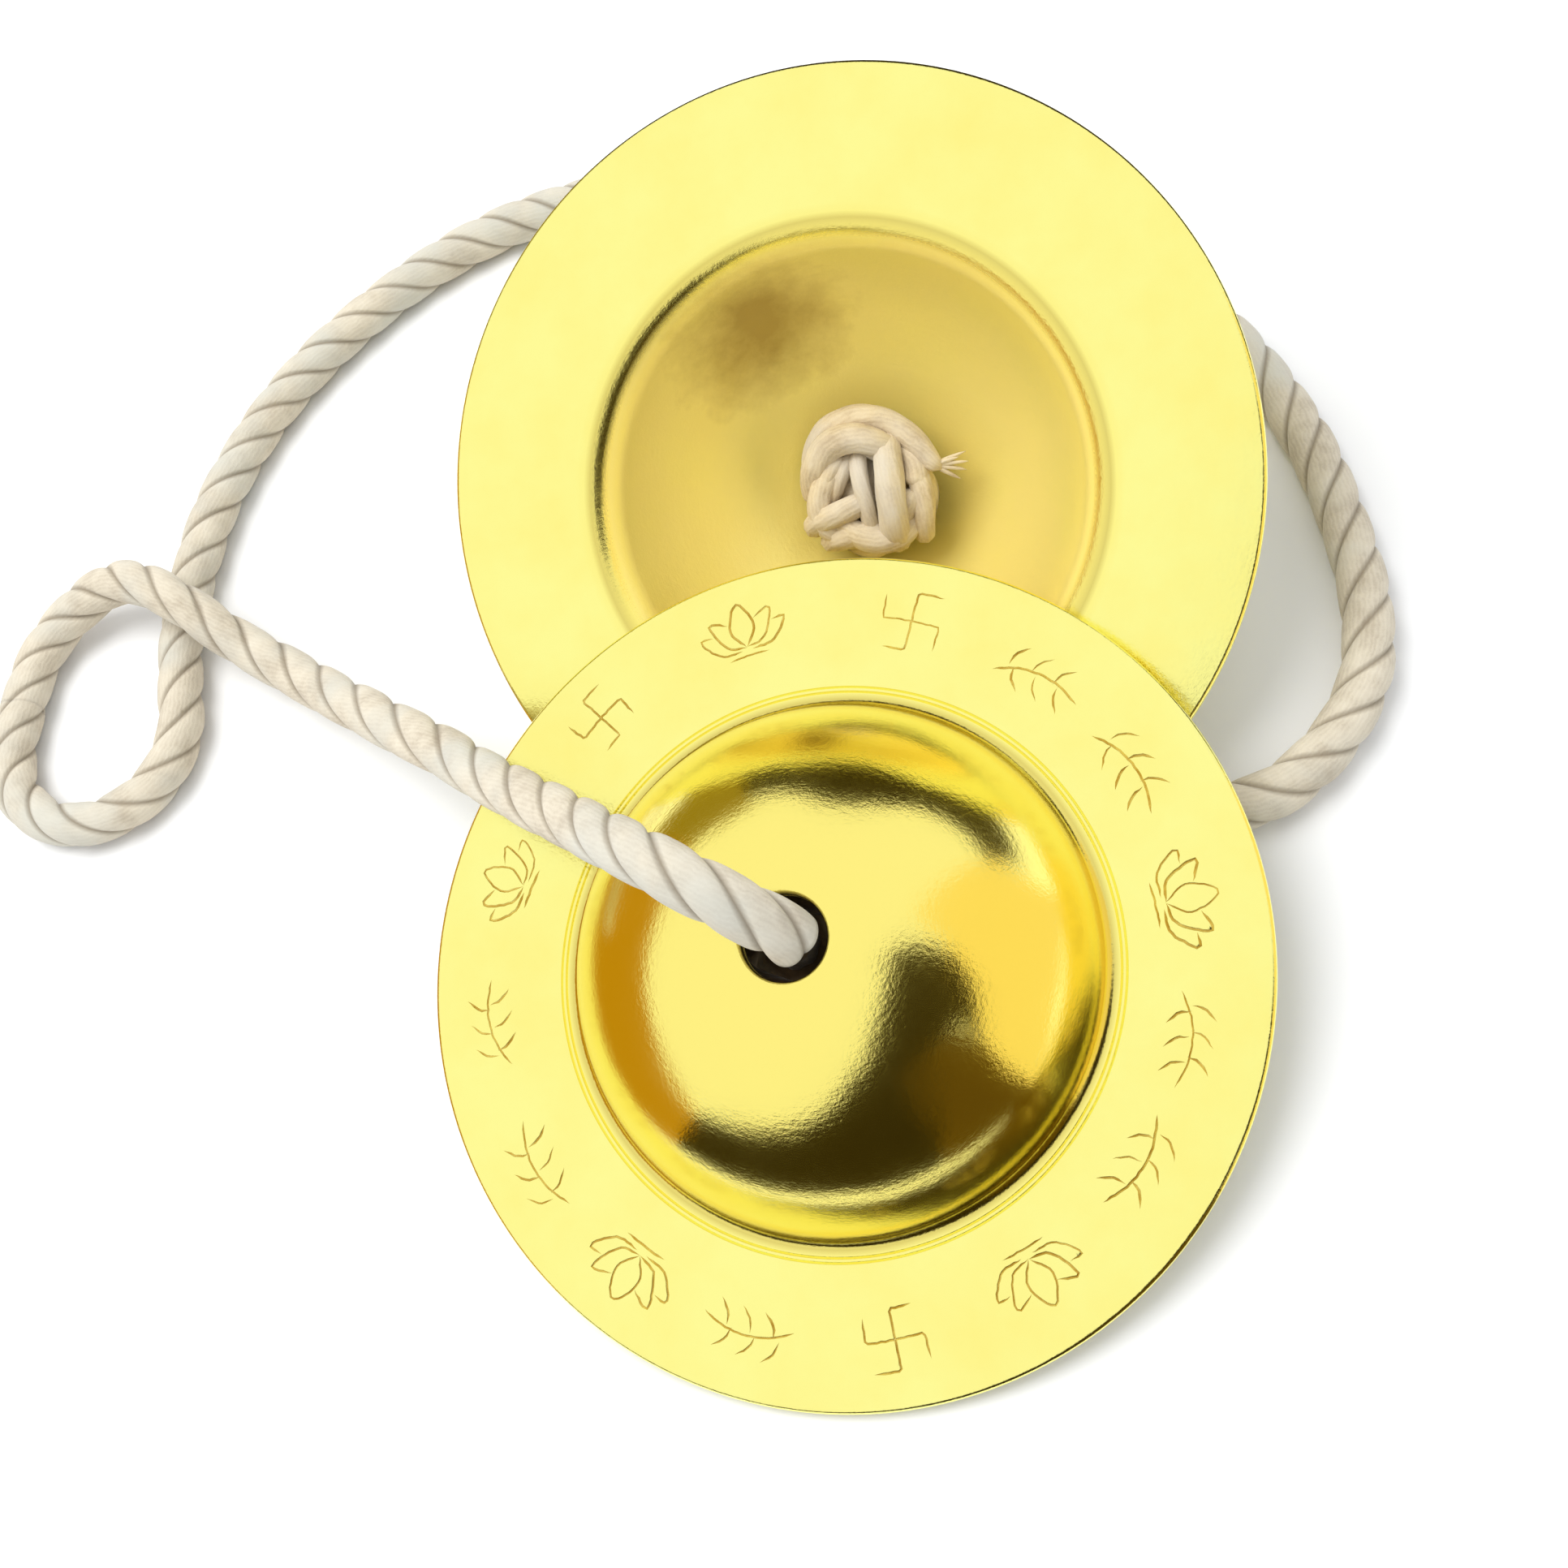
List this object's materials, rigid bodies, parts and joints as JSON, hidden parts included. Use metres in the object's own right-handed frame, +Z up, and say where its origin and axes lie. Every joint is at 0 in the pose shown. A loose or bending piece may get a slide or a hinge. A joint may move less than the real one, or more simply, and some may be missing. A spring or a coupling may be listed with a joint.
{
  "type": "manjira cymbals",
  "caption": "Pair of small brass hand cymbals with flat rims and domed bosses, joined by a twisted cotton cord that is knotted inside each cup.",
  "frame": {"origin": "on the table under the pair, halfway between the front cymbal's near edge and the rear cymbal's far edge", "axes": "+Z up from the table, +Y from the front cymbal to the rear one, +X to the right"},
  "size_m": [0.1661, 0.1552, 0.0476],
  "materials": {
    "rear_brass": "satin, cup turned bright",
    "front_brass": "satin rim, polished boss",
    "knot_cotton": "unlaid cotton strands",
    "cord_cotton": "three-strand twisted cotton"
  },
  "bodies": {
    "cord": {"cord_rear_run": "cord_cotton", "rear_knot": "knot_cotton"},
    "rear_cymbal": {"rear_cymbal": "rear_brass"},
    "front_knot": {"front_knot": "knot_cotton", "cord_front_run": "cord_cotton"},
    "front_cymbal": {"front_cymbal": "front_brass"}
  },
  "joints": [
    {"name": "rear_cymbal_spin", "type": "hinge", "parent": "cord", "child": "rear_cymbal", "pos_m": [0, 0.0261, 0.02456], "axis": [0, -0.5403, 0.8415], "continuous": true},
    {"name": "front_cymbal_lift", "type": "hinge", "parent": "cord", "child": "front_knot", "pos_m": [0, -0.0625, 0], "axis": [1, 0, 0], "range_deg": [0, 60]},
    {"name": "front_cymbal_spin", "type": "hinge", "parent": "front_knot", "child": "front_cymbal", "pos_m": [0, -0.0209, 0.00925], "axis": [0, -0.2174, 0.9761], "continuous": true}
  ]
}
